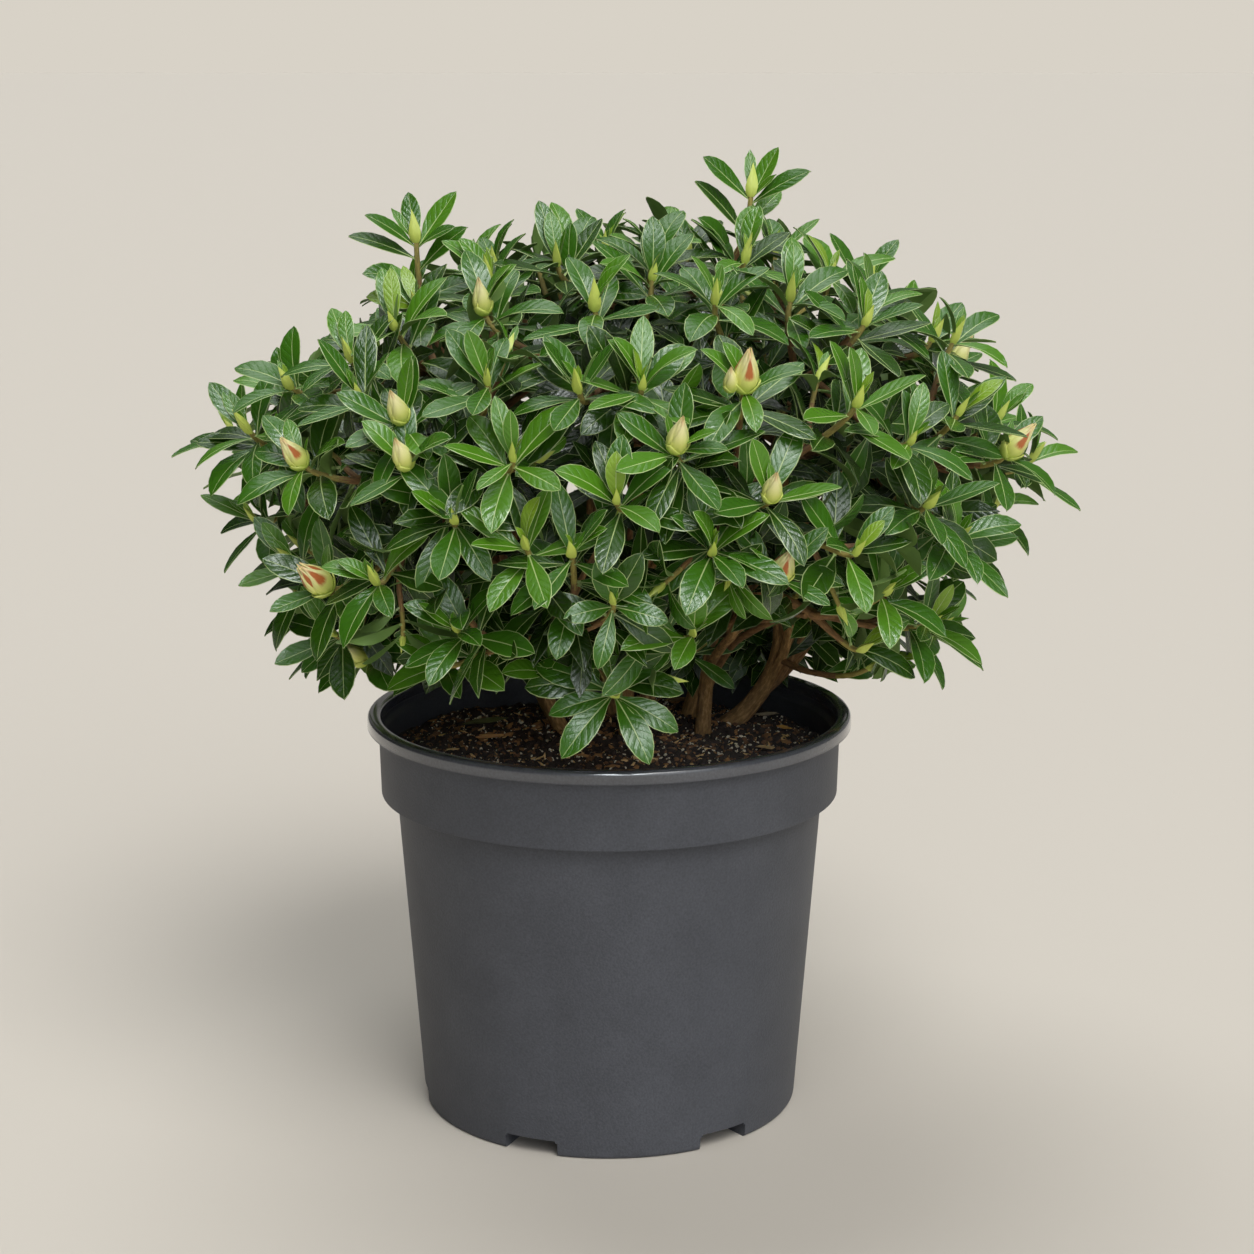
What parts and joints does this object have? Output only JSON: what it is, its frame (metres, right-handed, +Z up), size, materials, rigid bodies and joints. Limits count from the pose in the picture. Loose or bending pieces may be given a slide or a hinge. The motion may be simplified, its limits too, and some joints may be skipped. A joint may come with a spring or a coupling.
{
  "type": "azalea shrub in a nursery pot",
  "caption": "Evergreen azalea shrub with woody stems, boughs and a broad leafy crown, standing in a round nursery pot filled with compost.",
  "frame": {"origin": "middle of the pot's flat underside, on the ground", "axes": "+Z up the pot's axis, -Y towards the front of the plant, +X to the right seen from the front"},
  "size_m": [0.4789, 0.4681, 0.5111],
  "materials": {
    "pot_plastic": "fine-grained moulded plastic, slightly shiny at the rim",
    "compost": "dark moist peat and bark compost",
    "bark": "grey-brown rough bark, redder on the thin boughs",
    "foliage": "glossy dark green leaves with pale midribs, yellow-green when young"
  },
  "bodies": {
    "root": {"pot": "pot_plastic", "soil": "compost", "stem_1": "bark", "stem_2": "bark", "stem_3": "bark", "stem_4": "bark", "stem_5": "bark", "stem_6": "bark", "stem_7": "bark", "stem_centre": "bark", "bough_middle_1": "bark", "bough_low_1": "bark", "bough_middle_2": "bark", "bough_low_2": "bark", "bough_middle_3": "bark", "bough_low_3": "bark", "bough_middle_4": "bark", "bough_low_4": "bark", "bough_middle_5": "bark", "bough_low_5": "bark", "bough_middle_6": "bark", "bough_low_6": "bark", "bough_middle_7": "bark", "bough_low_7": "bark", "foliage_high_1": "foliage", "foliage_middle_1": "foliage", "foliage_low_1": "foliage", "foliage_high_2": "foliage", "foliage_middle_2": "foliage", "foliage_low_2": "foliage", "foliage_high_3": "foliage", "foliage_middle_3": "foliage", "foliage_low_3": "foliage", "foliage_high_4": "foliage", "foliage_middle_4": "foliage", "foliage_low_4": "foliage", "foliage_high_5": "foliage", "foliage_middle_5": "foliage", "foliage_low_5": "foliage", "foliage_high_6": "foliage", "foliage_middle_6": "foliage", "foliage_low_6": "foliage", "foliage_high_7": "foliage", "foliage_middle_7": "foliage", "foliage_low_7": "foliage", "foliage_top": "foliage"}
  },
  "joints": []
}
